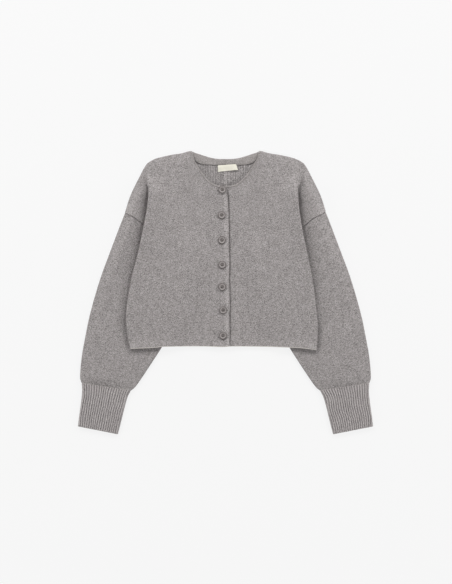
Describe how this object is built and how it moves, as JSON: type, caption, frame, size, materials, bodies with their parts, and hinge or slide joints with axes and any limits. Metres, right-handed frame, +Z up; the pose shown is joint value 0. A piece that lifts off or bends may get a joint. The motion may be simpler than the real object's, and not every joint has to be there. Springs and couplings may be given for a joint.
{
  "type": "button cardigan",
  "caption": "Cropped wool cardigan with a round neck and full sleeves gathered into ribbed cuffs, buttoned up the front and laid flat on its back.",
  "frame": {"origin": "centre of the garment's bounding box in plan, on the surface it lies on", "axes": "+Y runs from the hem up to the neck, +X towards the wearer's left sleeve, +Z up, from the back of the garment to its front"},
  "size_m": [0.752, 0.722, 0.016],
  "materials": {
    "wool": "milled knit, slightly brushed",
    "ribbed_wool": "1 x 1 rib knit",
    "label": "woven satin tape",
    "button": "satin, polished on the rim"
  },
  "bodies": {
    "root": {"back": "wool", "right_front": "wool", "left_front": "wool", "right_sleeve": "wool", "left_sleeve": "wool", "right_neck_edge": "wool", "left_neck_edge": "wool", "back_neckband": "wool", "right_cuff": "ribbed_wool", "left_cuff": "ribbed_wool", "neck_label": "label", "button_1": "button", "button_2": "button", "button_3": "button", "button_4": "button", "button_5": "button", "button_6": "button", "button_7": "button"}
  },
  "joints": []
}
